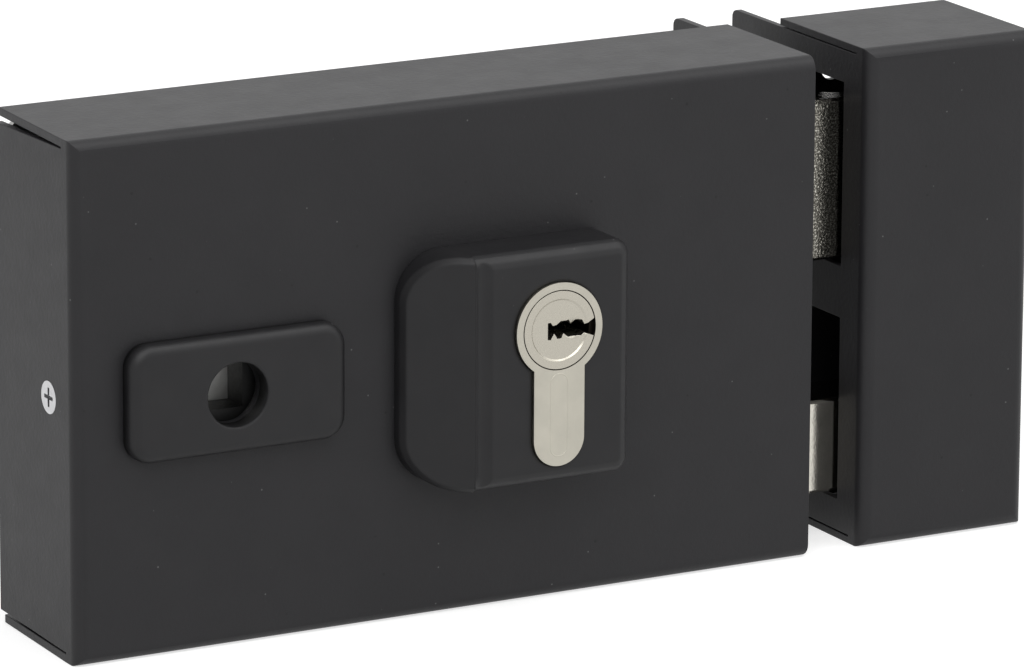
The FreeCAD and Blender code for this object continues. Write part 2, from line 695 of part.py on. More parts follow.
def cylinder_guard():
    """The moulded guard round the cylinder: a ramp from the left, a hollow groove and a flat pad."""
    whole = doc.addObject("Part::Fuse", "guard_whole")
    whole.Base = guard_ramp()
    whole.Tool = guard_pad()
    half = S.guard_groove / 2
    depth = S.guard_groove_depth
    radius = (half * half + depth * depth) / (2 * depth)
    groove = doc.addObject("Part::Cylinder", "guard_groove_bar")
    bind(groove, "Radius", radius)
    bind(groove, "Height", S.guard_top + S.guard_bottom + 2 * PAST)
    place(groove, half - S.guard_peak, depth - radius - GUARD_FACE, -S.guard_bottom - PAST)
    guard = doc.addObject("Part::Cut", "guard_cut")
    guard.Base = whole
    guard.Tool = groove
    doc.recompute()
    keep(guard, "cylinder_guard")


def spindle_plate():
    """The moulded plate with the spindle's hole, left of the guard."""
    body = new_body("spindle_plate")
    half = S.rose_length / 2
    tall = S.rose_rise / 2
    pad(body, "block", "front", S.case_depth, S.rose_thick,
        rectangle(SPINDLE_X - half, SPINDLE_Z - tall, SPINDLE_X + half, SPINDLE_Z + tall))

    def corners(edge, middle, along):
        return near(abs(along.y), 1)

    round_off(body, "corners", S.rose_corner, corners)

    def rim(edge, middle, along):
        return near(-middle.y, S.case_depth + S.rose_thick)

    bevel_off(body, "rim", S.rose_edge * RIM_MIDDLE, rim)
    pocket(body, "hole", "front", S.case_depth, S.rose_thick + PAST,
           circle(SPINDLE_X, SPINDLE_Z, S.rose_hole_radius))


def strike_box():
    """The box strike, folded from one sheet, with two bolt openings on its left."""
    body = new_body("strike_box")
    gauge = S.strike_gauge
    pad(body, "outside", "front", 0, S.case_depth, rectangle(STRIKE_LEFT, -CASE_TOP, STRIKE_RIGHT, CASE_TOP))

    def front_folds(edge, middle, along):
        return near(-middle.y, S.case_depth)

    round_off(body, "folds", S.bend_radius, front_folds)
    inner_top = CASE_TOP - gauge
    pocket(body, "inside", "front", 0, S.case_depth - gauge,
           rectangle(STRIKE_LEFT + gauge, -inner_top, STRIKE_RIGHT - gauge, inner_top))

    def inner_folds(edge, middle, along):
        return near(-middle.y, S.case_depth - gauge)

    round_off(body, "inner_folds", S.bend_radius - gauge, inner_folds)
    pad(body, "edge_plate", "side", STRIKE_LEFT, gauge,
        rectangle(-gauge, -inner_top + S.strike_seam, S.edge_reach, inner_top - S.strike_seam))
    round_off(body, "corners", S.edge_corner, edge_corners)
    slit = S.case_depth - S.seam_stop
    pocket(body, "top_seam", "front", 0, slit,
           rectangle(STRIKE_LEFT, inner_top - S.strike_seam, STRIKE_LEFT + gauge, inner_top))
    pocket(body, "bottom_seam", "front", 0, slit,
           rectangle(STRIKE_LEFT, -inner_top, STRIKE_LEFT + gauge, -inner_top + S.strike_seam))
    front = -S.case_depth + S.opening_front
    for name, low in (("upper", S.opening_web / 2), ("lower", -S.opening_web / 2 - S.opening_rise)):
        pocket(body, name + "_opening", "side", STRIKE_LEFT, gauge,
               rectangle(front, low, front + S.opening_width, low + S.opening_rise))
    edge_holes(body, STRIKE_LEFT, gauge, 1)


def strike_back():
    """The plate inside the strike's back, with four screw holes to the door frame."""
    body = new_body("strike_back")
    rim = S.strike_gauge + S.back_clearance
    top = CASE_TOP - rim
    pad(body, "plate", "front", 0, S.strike_back_gauge,
        rectangle(STRIKE_LEFT + rim, -top, STRIKE_RIGHT - rim, top))
    holes = [circle(x, z, S.strike_hole_radius)
             for x in (STRIKE_LEFT + S.strike_hole_side, STRIKE_RIGHT - S.strike_hole_side)
             for z in (CASE_TOP - S.strike_hole_edge, S.strike_hole_edge - CASE_TOP)]
    pocket(body, "screw_holes", "front", 0, S.strike_back_gauge, *holes)


# Cylinder

def cylinder_body():
    """The double profile cylinder's body, with the cam gap at its middle."""
    body = new_body("cylinder_body")
    half = S.stem_width / 2
    foot = AXIS_Z - S.stem_drop + half
    length = S.cylinder_inner + S.cylinder_outer
    pad(body, "head", "front", CYLINDER_BACK, length, circle(AXIS_X, AXIS_Z, S.head_radius))
    pad(body, "stem", "front", CYLINDER_BACK, length, rectangle(AXIS_X - half, foot, AXIS_X + half, AXIS_Z))
    pad(body, "foot", "front", CYLINDER_BACK, length, circle(AXIS_X, foot, half))
    bridge = AXIS_Z - S.nose_arm - S.nose_radius - S.nose_relief
    wide = S.head_radius + PAST
    pocket(body, "cam_gap", "front", CAM_MIDDLE - S.cam_width / 2, S.cam_width,
           rectangle(AXIS_X - wide, bridge, AXIS_X + wide, AXIS_Z + wide))
    pocket(body, "bore", "front", CYLINDER_BACK, length,
           circle(AXIS_X, AXIS_Z, S.plug_radius + S.running_fit))
    seat = circle(AXIS_X, AXIS_Z, S.plug_collar_radius + S.collar_fit)
    depth = S.plug_collar_length + S.running_fit
    pocket(body, "inner_seat", "front", CYLINDER_FACE - depth, depth, seat)
    pocket(body, "outer_seat", "front", CYLINDER_BACK, depth, seat)
    turn_along_x(body, "fixing_hole", "Groove", CAM_MIDDLE, FIXING_Z,
                 [(AXIS_X - half - PAST, 0), (AXIS_X + half + PAST, 0),
                  (AXIS_X + half + PAST, S.fixing_radius + S.running_fit),
                  (AXIS_X - half - PAST, S.fixing_radius + S.running_fit)])
    pocket(body, "pin_channels", "top", AXIS_Z - S.stem_drop, S.stem_drop - S.plug_radius / 2,
           *pin_channels(S.pin_radius + S.running_fit))


def pin_row(half):
    """How far each tumbler pin of one half of the cylinder lies from that half's face."""
    count = int(S.pin_count.value)
    room = half - S.cam_width / 2 - S.pin_last - S.pin_first
    return [S.pin_first + k * room / (count - 1) for k in range(count)]


def pin_depths():
    """The depth of every tumbler pin, of both halves."""
    near_face = [CYLINDER_FACE - step for step in pin_row(S.cylinder_inner)]
    return near_face + [CYLINDER_BACK + step for step in pin_row(S.cylinder_outer)]


def pin_channels(radius):
    """The straight channel that holds the tumbler pins of each half, seen from above."""
    depths = pin_depths()
    count = len(depths) // 2
    inner = rectangle(AXIS_X - radius, -depths[0] - radius, AXIS_X + radius, -depths[count - 1] + radius)
    outer = rectangle(AXIS_X - radius, -depths[-1] - radius, AXIS_X + radius, -depths[count] + radius)
    return [inner, outer]


KEYWAY = [(-2.2, -1.6), (-1.6, -1.7), (-0.9, -0.6), (-0.3, -1.6), (0.5, -1.6), (0.9, -0.7), (1.9, -1.5),
          (4.5, -1.5), (5.0, -1.1), (5.9, -1.4), (7.2, -1.9), (7.2, 1.6), (5.7, 0.7), (5.1, 0.4), (4.6, 1.3),
          (3.4, 1.4), (2.7, 0.6), (2.0, 1.5), (0.4, 1.5), (-0.5, 0.9), (-1.2, 0.8), (-1.6, 1.4), (-2.2, 1.4)]


def key_plug(label, face, inwards):
    """A key plug with its sunk face, keyway and key dimple; inwards is -1 for the one at the front."""
    body = new_body(label)
    gap = CAM_MIDDLE - inwards * (S.cam_width / 2 + S.cam_side_play)
    reach = Term(abs(face.value - gap.value), f"abs({face.text} - {gap.text})")
    low = gap if inwards < 0 else face
    pad(body, "plug", "front", low, reach, circle(AXIS_X, AXIS_Z, S.plug_radius))
    collar = face - S.plug_collar_length if inwards < 0 else face
    pad(body, "collar", "front", collar, S.plug_collar_length, circle(AXIS_X, AXIS_Z, S.plug_collar_radius))
    floor = -face - inwards * S.dish_depth
    spin(body, "dish", "Groove", AXIS_X, AXIS_Z,
         [(0, -face), (S.dish_radius + S.dish_depth, -face), (S.dish_radius, floor), (0, floor)])
    slot = outline([(AXIS_X - inwards * a, AXIS_Z + b) for a, b in KEYWAY])
    deep = reach - S.keyway_end
    pocket(body, "keyway", "front", face - deep if inwards < 0 else face, deep, slot)
    bottom = -face - inwards * S.dimple_depth
    spin(body, "dimple", "Groove", AXIS_X - inwards * S.dimple_offset, AXIS_Z,
         [(0, -face), (S.dimple_radius, -face), (0, bottom)])
    return body


def cylinder_cam():
    """The cam between the plugs; its nose works in the slot of the deadbolt's tail."""
    body = new_body("cylinder_cam")
    width = S.cam_width - 2 * S.cam_side_play
    start = CAM_MIDDLE - width / 2
    neck = S.nose_neck / 2
    tip = (AXIS_X + S.nose_arm * NOSE_SINE, AXIS_Z + S.nose_arm * NOSE_COSINE)
    blade = swung([(-neck, 0), (neck, 0), (neck, S.nose_arm), (-neck, S.nose_arm)], NOSE_SINE, NOSE_COSINE)
    pad(body, "ring", "front", start, width, circle(AXIS_X, AXIS_Z, S.cam_radius))
    pad(body, "blade", "front", start, width, outline([(AXIS_X + a, AXIS_Z + b) for a, b in blade]))
    pad(body, "nose", "front", start, width, circle(tip[0], tip[1], S.nose_radius))
    pocket(body, "bore", "front", start, width, circle(AXIS_X, AXIS_Z, S.cam_bore_radius))


def cam_clutch():
    """The sliding coupling in the cam's bore, between the two plugs."""
    body = new_body("cam_clutch")
    width = S.cam_width - 2 * S.cam_side_play
    radius = S.cam_bore_radius - S.running_fit
    pad(body, "drum", "front", CAM_MIDDLE - width / 2, width, circle(AXIS_X, AXIS_Z, radius))
    slot = S.clutch_slot
    pocket(body, "key_slot", "front", CAM_MIDDLE - width / 2, width,
           rectangle(AXIS_X - slot, AXIS_Z - slot, AXIS_X + radius + PAST, AXIS_Z + slot))


def cylinder_fixing_screw():
    """The long countersunk screw from the forend into the cylinder's bridge."""
    body = new_body("cylinder_fixing_screw")
    radius = S.fixing_radius
    point = S.screw_point
    points = [(0, 0), (0, S.screw_sink_radius), (-S.screw_sink_depth, radius),
              (point - S.fixing_length, radius), (-S.fixing_length, radius - point), (-S.fixing_length, 0)]
    turn_along_x(body, "screw", "Revolution", CAM_MIDDLE, FIXING_Z, points)
    cross_recess(body, -S.screw_sink_depth, S.screw_sink_depth, -CAM_MIDDLE, FIXING_Z,
                 S.screw_cross, S.screw_cross_half)


def cross_recess(body, start, depth, across, height, reach, half):
    """Cuts a screw head's cross recess, as two crossed slots along x."""
    pocket(body, "recess", "side", start, depth,
           rectangle(across - reach, height - half, across + reach, height + half))
    pocket(body, "cross", "side", start, depth,
           rectangle(across - half, height - reach, across + half, height + reach))


def tumbler_group(label, low, length, shapes):
    """The tumbler pieces of one kind in the stem, as separate solids."""
    body = new_body(label, compound=True)
    pad(body, "row", "top", low, length, *shapes)


def tumblers():
    """The closing strips, springs and driver pins below the plugs."""
    bottom = AXIS_Z - S.stem_drop + S.pin_stopper_lift
    shear = AXIS_Z - S.plug_radius - S.running_fit
    driver_low = shear - 2 * S.pin_play - S.pin_driver
    spring_low = bottom + S.pin_stopper + S.pin_play
    pins = [even_sided(AXIS_X, -depth, S.pin_radius, PIN_SIDES) for depth in pin_depths()]
    springs = [even_sided(AXIS_X, -depth, S.pin_radius, ROD_SIDES) for depth in pin_depths()]
    tumbler_group("chamber_stoppers", bottom, S.pin_stopper, pin_channels(S.pin_radius))
    tumbler_group("driver_pins", driver_low, S.pin_driver, pins)
    tumbler_group("tumbler_springs", spring_low, driver_low - S.pin_play - spring_low, springs)


# Deadbolt

def deadbolt_head():
    """The thrown bolt: a plain bar with chamfered edges."""
    body = new_body("deadbolt_head")
    half = S.deadbolt_rise / 2
    pad(body, "bar", "side", -S.deadbolt_inside, S.deadbolt_inside + S.deadbolt_reach,
        rectangle(-BOLT_FACE, DEADBOLT_Z - half, -DEADBOLT_BACK, DEADBOLT_Z + half))

    def long_edges(edge, middle, along):
        return near(abs(along.x), 1) or near(middle.x, S.deadbolt_reach)

    bevel_off(body, "edges", S.bolt_edge, long_edges)
    rivet_holes(body, "rivet_hole", -S.deadbolt_inside, DEADBOLT_Z, DEADBOLT_BACK,
                S.tail_gauge + S.rivet_bite)


def rivet_holes(body, name, left, height, start, length):
    """Two rivet holes near the left end of a bolt head."""
    steps = (S.rivet_inset, S.rivet_inset + S.rivet_pitch)
    holes = [circle(left + step, height, S.rivet_radius) for step in steps]
    pocket(body, name, "front", start, length, *holes)


def tail_rivets(label, left, height, start, length):
    """Two rivets that hold a tail plate on its bolt head."""
    body = new_body(label, compound=True)
    steps = (S.rivet_inset, S.rivet_inset + S.rivet_pitch)
    rings = [circle(left + step, height, S.rivet_radius) for step in steps]
    pad(body, "shank", "front", start, length, *rings)


def deadbolt_tail():
    """The plate behind the deadbolt: a frame round the cylinder, with a slot for the cam's nose."""
    body = new_body("deadbolt_tail")
    start = DEADBOLT_BACK - S.tail_gauge
    thick = S.tail_gauge
    clear = S.head_radius + S.frame_play
    inner_right = AXIS_X + clear + S.deadbolt_throw
    inner_left = AXIS_X - clear
    outer_left = inner_left - S.frame_bar
    outer_right = inner_right + S.frame_bar
    window_low = FRAME_LOW + S.frame_lower
    slot_x = AXIS_X + S.nose_arm * NOSE_SINE
    slot_low = AXIS_Z + S.nose_arm * NOSE_COSINE + S.slot_entry
    slot_top = AXIS_Z + S.nose_arm + S.nose_radius + S.nose_relief
    slot_half = S.nose_radius + S.nose_clearance
    flare = S.slot_flare
    top = slot_top + S.frame_head
    plate = outline([(outer_left, FRAME_LOW), (TAIL_RIGHT, FRAME_LOW), (TAIL_RIGHT, window_low),
                     (outer_right, window_low), (outer_right, top), (outer_left, top)])
    window = outline([(inner_left, window_low), (inner_right, window_low), (inner_right, slot_low),
                      (slot_x + slot_half + flare, slot_low), (slot_x + slot_half, slot_low + flare * FLARE_SLOPE),
                      (slot_x + slot_half, slot_top), (slot_x - slot_half, slot_top),
                      (slot_x - slot_half, slot_low + flare * FLARE_SLOPE), (slot_x - slot_half - flare, slot_low),
                      (inner_left, slot_low)])
    pad(body, "frame", "front", start, thick, plate, window)
    rivet_holes(body, "rivet_hole", -S.deadbolt_inside, DEADBOLT_Z, start, thick)


def brake_spring():
    """The bowed leaf spring that bears on the underside of the deadbolt's tail."""
    body = new_body("brake_spring")
    crown = FRAME_LOW - S.brake_play
    low = crown - S.brake_drop
    end = S.brake_length / 2
    bend = end - S.brake_flat
    upper = [(AXIS_X - end, low), (AXIS_X - bend, low), (AXIS_X - S.brake_crown, crown),
             (AXIS_X + S.brake_crown, crown), (AXIS_X + bend, low), (AXIS_X + end, low)]
    lower = [(x, z - S.brake_gauge) for x, z in reversed(upper)]
    start = DEADBOLT_BACK - S.tail_gauge / 2 - S.brake_width / 2
    pad(body, "leaf", "front", start, S.brake_width, outline(upper + lower))


def brake_stop():
    """The bent shelf of the back plate that carries the brake spring's ends."""
    body = new_body("brake_shelf")
    top = FRAME_LOW - S.brake_play - S.brake_drop - S.brake_gauge
    half = S.brake_length / 2 + S.shelf_margin
    reach = DEADBOLT_BACK - S.tail_gauge / 2 + S.brake_width / 2 - BACK_INNER
    pad(body, "shelf", "front", BACK_INNER, reach,
        rectangle(AXIS_X - half, top - S.shelf_gauge, AXIS_X + half, top))


# Latch

def latch_head():
    """The sprung latch: a block whose back slopes at the tip, so that it rides into the strike."""
    body = new_body("latch_head")
    half = S.latch_rise / 2
    tip = S.latch_reach
    points = [(-S.latch_inside, -BOLT_FACE), (tip, -BOLT_FACE), (tip, -BOLT_FACE + S.latch_lip),
              (tip - S.latch_bevel, -LATCH_BACK), (-S.latch_inside, -LATCH_BACK)]
    pad(body, "block", "top", LATCH_Z - half, S.latch_rise, outline(points))

    def edges(edge, middle, along):
        return not near(middle.x, -S.latch_inside)

    bevel_off(body, "edges", S.bolt_edge, edges)
    rivet_holes(body, "rivet_hole", -S.latch_inside, LATCH_Z, BOLT_FACE - S.tail_gauge - S.rivet_bite,
                S.tail_gauge + S.rivet_bite + PAST)
    seat = S.rod_seat - S.latch_inside
    turn_along_x(body, "rod_hole", "Groove", rod_depth(), S.rod_lift,
                 [(-S.latch_inside - PAST, 0), (seat, 0), (seat, S.rod_radius),
                  (-S.latch_inside - PAST, S.rod_radius)])


def rod_depth():
    """Depth of the latch spring's axis."""
    return (BOLT_FACE + LATCH_BACK) / 2


def latch_tail():
    """The strip from the latch head over the cylinder to the follower, with its slot."""
    body = new_body("latch_tail")
    slot_x = SPINDLE_X + S.arm_length * ARM_SINE
    slot_half = S.arm_tip_radius + S.arm_clearance
    slot_top = SPINDLE_Z + S.arm_length + S.arm_tip_radius + S.arm_relief
    left = slot_x - slot_half - S.strip_end
    low = S.strip_bottom
    points = [(left, low), (slot_x - slot_half, low), (slot_x - slot_half, slot_top),
              (slot_x + slot_half, slot_top), (slot_x + slot_half, low), (TAIL_RIGHT, low),
              (TAIL_RIGHT, S.strip_top), (left, S.strip_top)]
    pad(body, "strip", "front", BOLT_FACE, S.tail_gauge, outline(points))
    rivet_holes(body, "rivet_hole", -S.latch_inside, LATCH_Z, BOLT_FACE, S.tail_gauge)


def latch_rod():
    """The rod that keeps the latch spring straight."""
    body = new_body("latch_rod")
    seat = S.rod_seat - S.latch_inside
    points = [(seat, 0), (seat, S.rod_radius),
              (-S.latch_inside - S.rod_length, S.rod_radius), (-S.latch_inside - S.rod_length, 0)]
    turn_along_x(body, "rod", "Revolution", rod_depth(), S.rod_lift, points)


def latch_spring():
    """The space of the compression spring between the latch head and its bracket, as a sleeve."""
    body = new_body("latch_spring")
    right = -S.latch_inside - S.spring_play
    left = S.spring_play - S.bracket_place
    inner = S.spring_radius - S.spring_wire / 2
    outer = S.spring_radius + S.spring_wire / 2
    turn_along_x(body, "sleeve", "Revolution", rod_depth(), S.rod_lift,
                 [(left, inner), (right, inner), (right, outer), (left, outer)])


def spring_bracket():
    """The angle on the back plate that the latch spring pushes against."""
    body = new_body("spring_bracket")
    right = -S.bracket_place
    left = right - S.bracket_gauge
    low = S.rod_lift + S.bracket_offset - S.bracket_rise / 2
    front = rod_depth() + S.bracket_rise / 2
    foot = -BACK_INNER - S.bracket_gauge
    points = [(right, -BACK_INNER), (right, -front), (left, -front), (left, foot),
              (left - S.bracket_foot, foot), (left - S.bracket_foot, -BACK_INNER)]
    pad(body, "angle", "top", low, S.bracket_rise, outline(points))
    turn_along_x(body, "rod_hole", "Groove", rod_depth(), S.rod_lift,
                 [(left - PAST, 0), (right + PAST, 0), (right + PAST, S.rod_radius + S.rod_fit),
                  (left - PAST, S.rod_radius + S.rod_fit)])


# Follower

def follower_hub():
    """The follower: a barrel with a square hole, two bearings and the arm that draws the latch."""
    body = new_body("follower_hub")
    centre = (SPINDLE_X, SPINDLE_Z)
    neck = S.arm_neck / 2
    arm_start = BOLT_FACE + (S.tail_gauge - S.arm_thick) / 2
    back = S.journal_end
    front = BRIDGE_BACK + S.bridge_gauge + S.journal_stand
    pad(body, "journals", "front", back, front - back, circle(*centre, S.journal_radius))
    pad(body, "barrel", "front", S.follower_back, FOLLOWER_FRONT - S.follower_back,
        circle(*centre, S.follower_radius))
    blade = swung([(-neck, 0), (neck, 0), (neck, S.arm_length), (-neck, S.arm_length)], ARM_SINE, ARM_COSINE)
    pad(body, "arm", "front", arm_start, S.arm_thick,
        outline([(SPINDLE_X + a, SPINDLE_Z + b) for a, b in blade]))
    pad(body, "arm_tip", "front", arm_start, S.arm_thick,
        circle(SPINDLE_X + S.arm_length * ARM_SINE, SPINDLE_Z + S.arm_length * ARM_COSINE, S.arm_tip_radius))
    half = S.square_width / 2 + S.square_fit
    pocket(body, "square", "front", back, front - back,
           rectangle(SPINDLE_X - half, SPINDLE_Z - half, SPINDLE_X + half, SPINDLE_Z + half))


def spindle():
    """The square bar in the follower; its bright end shows in the spindle plate's hole."""
    body = new_body("spindle")
    half = S.square_width / 2
    front = S.case_depth + S.rose_thick - S.spindle_set_back
    pad(body, "bar", "front", S.journal_end, front - S.journal_end,
        rectangle(SPINDLE_X - half, SPINDLE_Z - half, SPINDLE_X + half, SPINDLE_Z + half))


def follower_bridge():
    """The plate on four posts that carries the follower's front bearing."""
    body = new_body("follower_bridge")
    half = S.bridge_length / 2
    pad(body, "plate", "front", BRIDGE_BACK, S.bridge_gauge,
        rectangle(SPINDLE_X - half, -S.bridge_bottom, SPINDLE_X + half, S.bridge_top))
    pocket(body, "bearing", "front", BRIDGE_BACK, S.bridge_gauge,
           circle(SPINDLE_X, SPINDLE_Z, S.journal_radius + S.running_fit))


def bridge_posts():
    """The four six-sided posts between the back plate and the bridge."""
    body = new_body("bridge_posts", compound=True)
    half = S.bridge_length / 2 - S.post_inset
    posts = [even_sided(SPINDLE_X + side * half, height, S.post_radius, ROD_SIDES)
             for side in (-1, 1)
             for height in (S.bridge_top - S.post_inset, S.post_inset - S.bridge_bottom)]
    pad(body, "post", "front", BACK_INNER, BRIDGE_BACK - BACK_INNER, *posts)


# Guide, cover screw and its lug

def bolt_guide():
    """The block behind the forend that both bolts slide in."""
    body = new_body("bolt_guide")
    right = -S.forend_gauge
    top = LATCH_Z + S.latch_rise / 2 + S.guide_wall
    bottom = DEADBOLT_Z - S.deadbolt_rise / 2 - S.guide_wall
    front = -BOLT_FACE - S.guide_clearance - S.guide_floor
    pad(body, "block", "side", right - S.guide_length, S.guide_length,
        rectangle(front, bottom, -BACK_INNER, top))
    bolt_windows(body, "window", right - S.guide_length, S.guide_length, S.guide_clearance / 2)
    way = S.fixing_radius + S.rod_fit
    turn_along_x(body, "screw_way", "Groove", CAM_MIDDLE, FIXING_Z,
                 [(right - S.guide_length, 0), (0, 0), (0, S.screw_sink_radius + S.rod_fit),
                  (-S.screw_sink_depth, way), (right - S.guide_length, way)])


def cover_screw():
    """The countersunk cross-head screw in the case's left end."""
    body = new_body("cover_screw")
    left = CASE_LEFT
    radius = S.cover_screw_radius
    point = S.screw_point
    points = [(left, 0), (left, S.cover_screw_head), (left + S.cover_screw_sink, radius),
              (left + S.cover_screw_length - point, radius), (left + S.cover_screw_length, radius - point),
              (left + S.cover_screw_length, 0)]
    turn_along_x(body, "screw", "Revolution", S.cover_screw_depth, SPINDLE_Z, points)
    cross_recess(body, left, S.cover_screw_cross_depth, -S.cover_screw_depth, SPINDLE_Z,
                 S.cover_screw_cross, S.cover_screw_cross_half)


def cover_lug():
    """The tapped angle on the back plate that the cover screw bites into."""
    body = new_body("cover_lug")
    left = CASE_LEFT + S.sheet_gauge + S.back_clearance
    right = left + S.lug_gauge
    front = S.cover_screw_depth + S.lug_top
    foot = -BACK_INNER - S.lug_foot_gauge
    points = [(left, -BACK_INNER), (left, -front), (right, -front), (right, foot),
              (left + S.lug_foot, foot), (left + S.lug_foot, -BACK_INNER)]
    pad(body, "angle", "top", SPINDLE_Z - S.lug_rise / 2, S.lug_rise, outline(points))
    turn_along_x(body, "thread", "Groove", S.cover_screw_depth, SPINDLE_Z,
                 [(left - PAST, 0), (right + PAST, 0), (right + PAST, S.cover_screw_radius + S.running_fit),
                  (left - PAST, S.cover_screw_radius + S.running_fit)])


def build():
    """Makes every piece, in the order of assembly."""
    cover()
    back_plate()
    forend_plate()
    cylinder_guard()
    spindle_plate()
    bolt_guide()
    cover_lug()
    cover_screw()
    cylinder_body()
    cylinder_fixing_screw()
    key_plug("plug_inner", CYLINDER_FACE, -1)
    key_plug("plug_outer", CYLINDER_BACK, 1)
    cylinder_cam()
    cam_clutch()
    tumblers()
    deadbolt_head()
    deadbolt_tail()
    tail_rivets("deadbolt_rivets", -S.deadbolt_inside, DEADBOLT_Z, DEADBOLT_BACK - S.tail_gauge,
                2 * S.tail_gauge + S.rivet_bite)
    brake_spring()
    brake_stop()
    latch_head()
    latch_tail()
    tail_rivets("latch_rivets", -S.latch_inside, LATCH_Z, BOLT_FACE - S.tail_gauge - S.rivet_bite,
                2 * S.tail_gauge + S.rivet_bite)
    latch_rod()
    latch_spring()
    spring_bracket()
    follower_hub()
    spindle()
    follower_bridge()
    bridge_posts()
    strike_box()
    strike_back()


def check_and_write():
    """Makes sure that every object is sound, then writes one file for each node."""
    doc.recompute()
    for item in doc.Objects:
        if "Invalid" in item.State or "Error" in item.State:
            raise RuntimeError(f"{item.Label} is {item.State}")
    os.makedirs("parts", exist_ok=True)
    for item in NODES:
        shape = item.Shape
        if shape.isNull() or not shape.isValid() or shape.Volume <= 0:
            raise RuntimeError(f"{item.Label} has no sound solid")
        shape.exportStep(f"parts/{item.Label}.step")
        box = shape.BoundBox
        print(f"{item.Label:24s} solids {len(shape.Solids)} volume {shape.Volume:9.1f} "
              f"x {box.XMin:7.2f} {box.XMax:7.2f} y {box.YMin:7.2f} {box.YMax:7.2f} "
              f"z {box.ZMin:7.2f} {box.ZMax:7.2f}")


make_sheet()
build()
check_and_write()
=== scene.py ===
import math

import bmesh
import bpy
from mathutils import Matrix, Vector

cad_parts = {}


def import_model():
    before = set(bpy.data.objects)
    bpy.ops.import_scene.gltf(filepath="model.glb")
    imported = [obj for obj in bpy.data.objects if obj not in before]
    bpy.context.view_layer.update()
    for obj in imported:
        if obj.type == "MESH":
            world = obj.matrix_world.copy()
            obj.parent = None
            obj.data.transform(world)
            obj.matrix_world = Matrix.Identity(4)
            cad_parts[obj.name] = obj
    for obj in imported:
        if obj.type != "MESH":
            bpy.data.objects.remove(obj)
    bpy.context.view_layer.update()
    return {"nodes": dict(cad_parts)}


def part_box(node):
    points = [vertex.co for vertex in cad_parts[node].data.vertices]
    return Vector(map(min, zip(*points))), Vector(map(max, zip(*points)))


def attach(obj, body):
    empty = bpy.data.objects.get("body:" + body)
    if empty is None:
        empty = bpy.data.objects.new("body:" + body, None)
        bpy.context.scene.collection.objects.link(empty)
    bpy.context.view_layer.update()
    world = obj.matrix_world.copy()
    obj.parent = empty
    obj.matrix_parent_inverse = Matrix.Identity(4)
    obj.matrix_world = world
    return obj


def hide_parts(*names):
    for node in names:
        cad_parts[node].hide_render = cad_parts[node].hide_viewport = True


# Looks of a surface-mounted rim lock and its box strike, in metres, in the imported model's frame.
# The case runs along x, the key side faces -y, and z = 0 is the floor it stands on.
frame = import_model()
NODES = frame["nodes"]

MM = 0.001
IMAGE_WIDTH = 1024
SENSOR_WIDTH = 36.0

# Camera, fitted to the photograph's edges: degrees, metres and pixels
CAMERA_YAW = 28.70
CAMERA_PITCH = 14.69
CAMERA_ROLL = 0.27
CAMERA_PLACE = (-0.6109, -1.10785, 0.3748)
CAMERA_FOCAL = 7347.0
CAMERA_CENTRE_X = 496.5
CAMERA_NEAR = 0.01
CAMERA_FAR = 50

# Studio: the world's light on the object, the floor's size, grey and brightness, and where the lamps point
AMBIENT = 0.55
FLOOR_SIZE = 8.0
FLOOR_PAINT = 0.5
FLOOR_GLOW = 0.62
LAMP_TARGET = (0, 0, 0.045)

# Softened edges: folded sheet and bare metal as geometry, moulded polymer in its shading
SHEET_EDGE = 0.22 * MM
METAL_EDGE = 0.12 * MM
EDGE_SEGMENTS = 2
MOULDED_BLEND = 0.8 * MM
BLEND_SAMPLES = 6

# Points within the weld are one, bends over SHARP are rounded, and bends under FLAT are taken out
WELD = 0.002 * MM
SHARP = math.radians(35)
FLAT = math.radians(1)

# How far large faces lead the shading of the edges beside them, where 50 is not at all
LARGE_FACE_LEAD = 100

# Where most of a noise's values lie
NOISE_LOW = 0.3
NOISE_HIGH = 0.7

# Painted shade on the wall of the plug's bore and in the gap round the plug: how far it reaches outside the
# plug, and where it ends
BORE_SHADE = 0.17 * MM
BORE_FADE = 0.05 * MM

# Plain metals: the grain's size, how far the roughness goes down and up, and the darker patches' share
METAL_GRAIN = 0.4 * MM
GLOSSIER = 0.05
DULLER = 0.08
DARKER = 0.82

# How the rolling marks on the zinc-plated sheet are drawn out along x
ROLLING = (0.05, 1, 1)

# The plain oblong bead on the stem of the cylinder's face, and how far it starts above the stem's bottom
OBLONG_WIDTH = 3.4 * MM
OBLONG_RISE = 14.9 * MM
OBLONG_LOW = 1.75 * MM
BEAD_HALF = 0.12 * MM
BEAD_HEIGHT = 0.05 * MM
BEAD_SINK = 0.01 * MM
BEAD_STEPS = 24
BEAD_SIDES = 6

# The spindle's rose, from the photograph: its middle lies to the right of its hole's
ROSE_LENGTH = 41.5 * MM
ROSE_RISE = 20.9 * MM
ROSE_RIGHT = 0.5 * MM
ROSE_CORNER = 4.2 * MM
ROSE_EDGE = 2.0 * MM
ROSE_HOLE = 5.75 * MM
ROSE_LIP = 0.25 * MM
CORNER_STEPS = 10
SIDE_STEPS = 24
EDGE_STEPS = 8
LIP_STEPS = 3

# Colours of the coated and moulded surfaces
COAT = (0.0112, 0.0109, 0.0122)
COAT_PALER = (0.0134, 0.013, 0.0144)
COAT_PIT = (0.002, 0.002, 0.002)
COAT_SPECK = (0.16, 0.16, 0.16)
POLYMER = (0.008, 0.0079, 0.0089)
POLYMER_PALER = (0.0107, 0.0104, 0.0113)
POLYMER_SPECK = (0.14, 0.14, 0.14)

